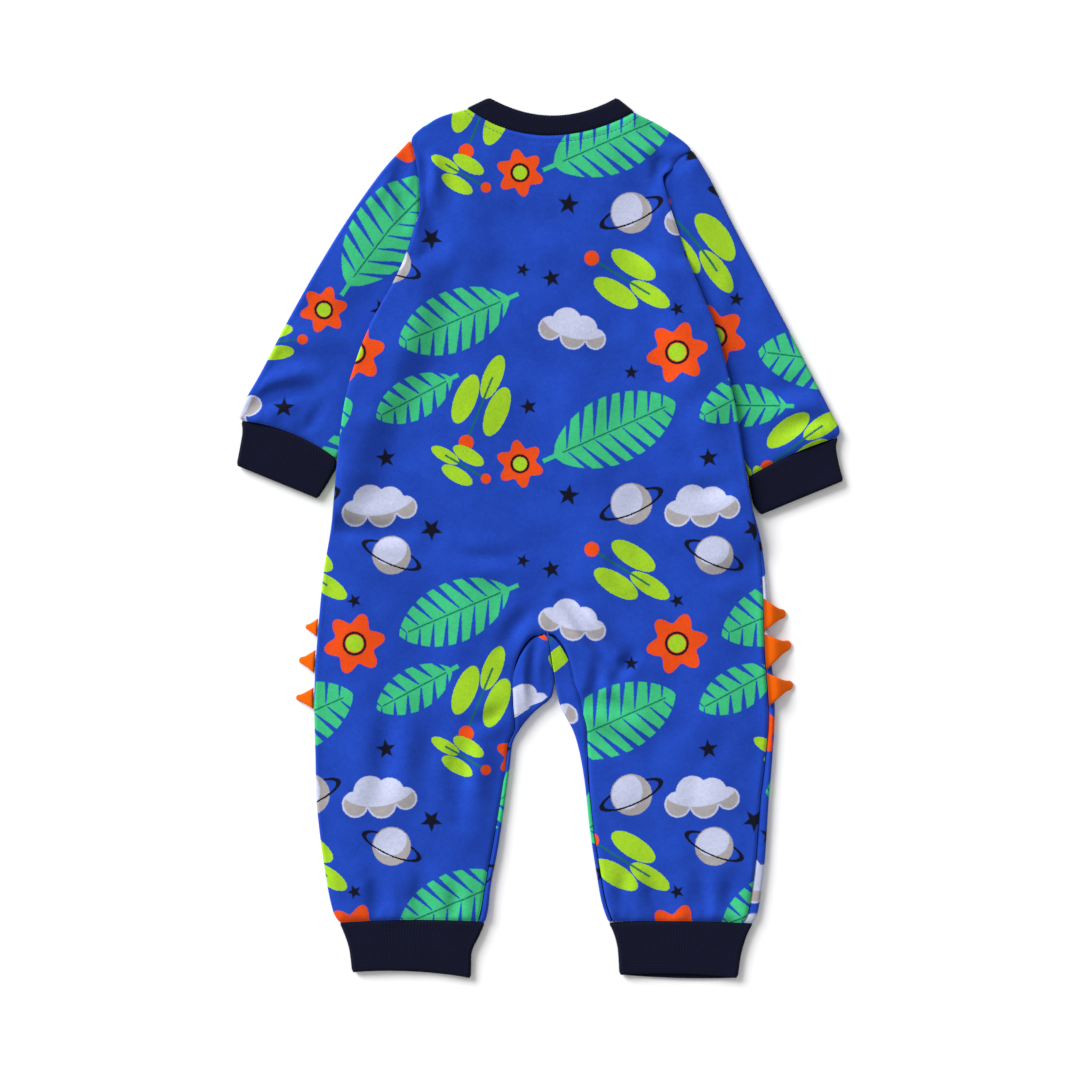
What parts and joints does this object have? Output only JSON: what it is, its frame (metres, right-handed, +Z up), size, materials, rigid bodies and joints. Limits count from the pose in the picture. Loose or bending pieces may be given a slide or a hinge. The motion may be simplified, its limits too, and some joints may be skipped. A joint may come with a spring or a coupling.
{
  "type": "onesie pajama",
  "caption": "Baby's footless fleece sleeper laid flat, back up: set-in sleeves, rib neckband and cuffs, a front zip, and cloth spikes in the leg side seams.",
  "frame": {"origin": "The middle of the garment's footprint, on the surface that it lies on.", "axes": "+X to the wearer's right, +Y from the ankles to the neck, +Z up, out of the garment's back."},
  "size_m": [0.4262, 0.6184, 0.0123],
  "materials": {
    "fleece": "royal blue microfleece with an all-over print",
    "rib": "navy one by one rib knit",
    "spike": "orange fleece",
    "zip": "navy woven zip tape",
    "slider": "navy plastic"
  },
  "bodies": {
    "root": {"back_panel": "fleece", "front_panel_left": "fleece", "front_panel_right": "fleece", "sleeve_left": "fleece", "sleeve_right": "fleece", "wrist_cuff_left": "rib", "wrist_cuff_right": "rib", "ankle_cuff_left": "rib", "ankle_cuff_right": "rib", "neckband": "rib", "zip_tape": "zip", "zip_slider": "slider", "spike_left_1": "spike", "spike_left_2": "spike", "spike_left_3": "spike", "spike_right_1": "spike", "spike_right_2": "spike", "spike_right_3": "spike"}
  },
  "joints": []
}
